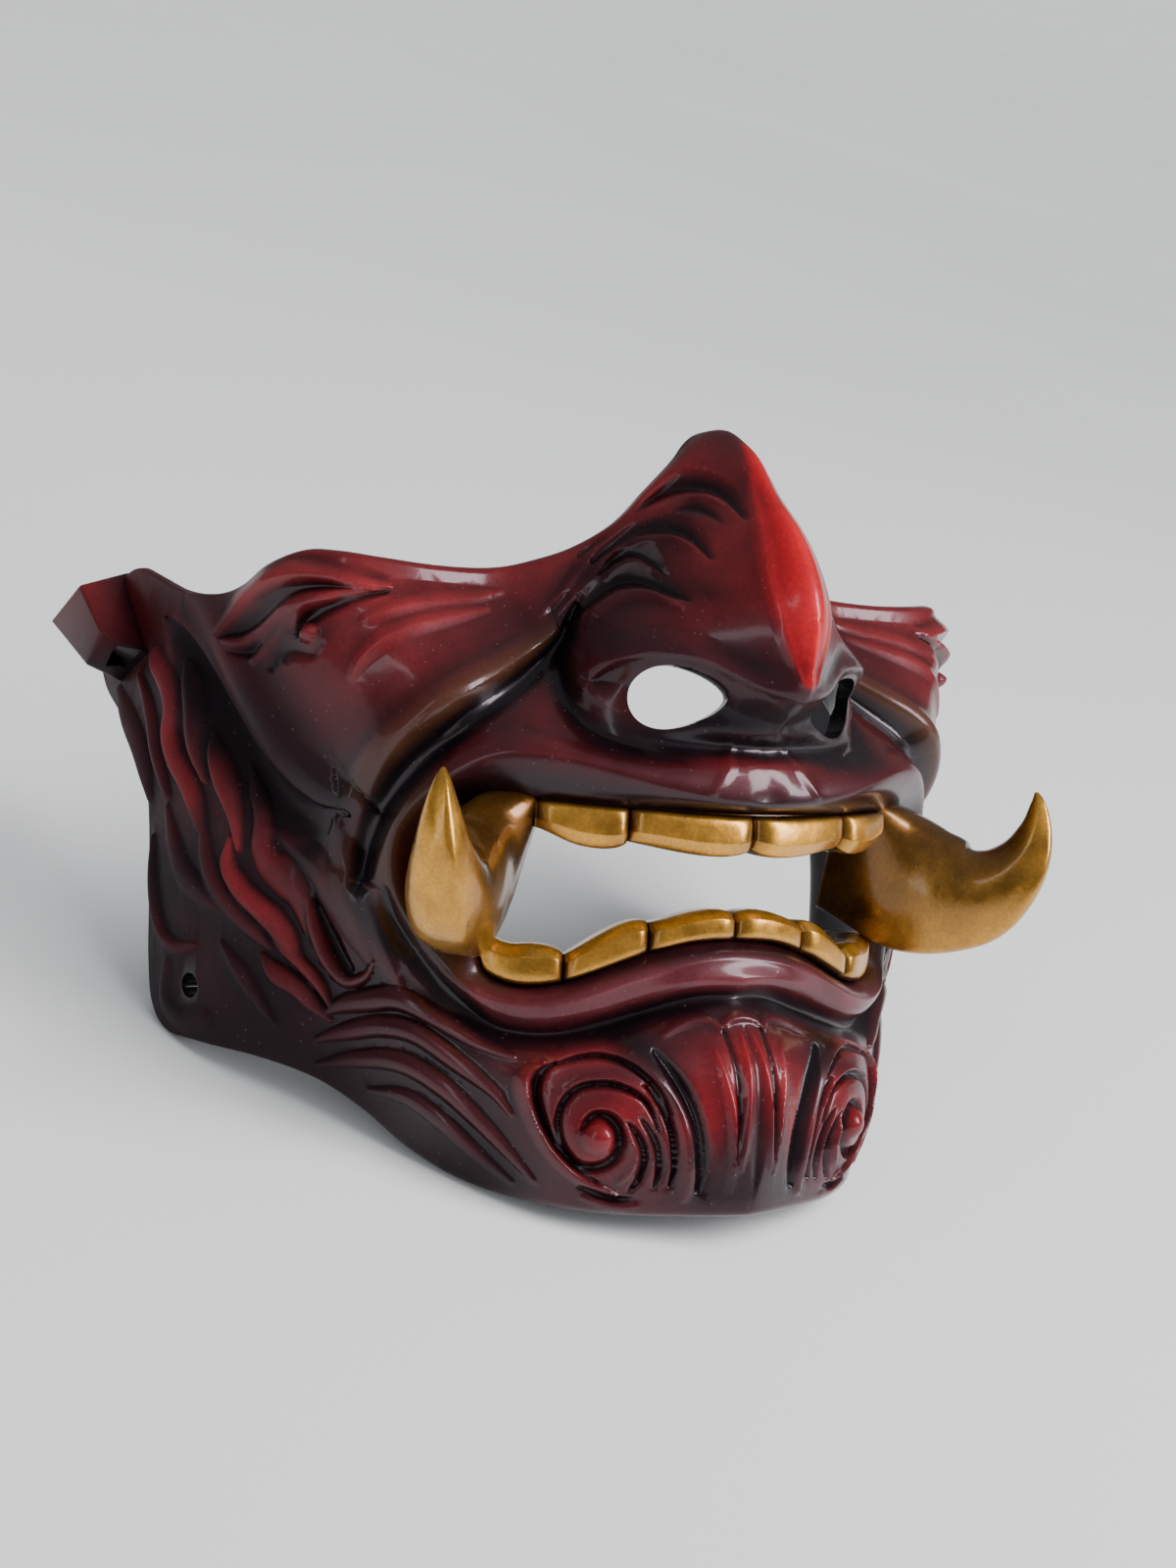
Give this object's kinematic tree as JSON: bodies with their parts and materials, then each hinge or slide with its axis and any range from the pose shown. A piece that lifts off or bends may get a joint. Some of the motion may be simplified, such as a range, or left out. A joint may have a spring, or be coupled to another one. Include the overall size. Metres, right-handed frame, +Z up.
{
  "type": "oni half mask",
  "caption": "Hollow half mask from nose bridge to chin: demon face with open mouth, teeth, curled tusks, open nostrils and strap lugs at the ears.",
  "frame": {"origin": "centre of the bounding box at the level of the surface that the mask rests on", "axes": "+X to the wearer's left and the longest extent, -Y to the front, +Z up as the mask rests on its chin and jaw corners"},
  "size_m": [0.194, 0.165, 0.1407],
  "materials": {
    "red_lacquer": "deep red airbrushed to near black in the hollows, under semi-gloss varnish",
    "gold_paint": "brushed antique gold paint, brown in the furrows",
    "tusk_gold": "brushed antique gold paint, brown towards the root"
  },
  "bodies": {
    "root": {"mask_shell": "red_lacquer", "upper_teeth": "gold_paint", "lower_teeth": "gold_paint", "tusk_left": "tusk_gold", "tusk_right": "tusk_gold"}
  },
  "joints": []
}
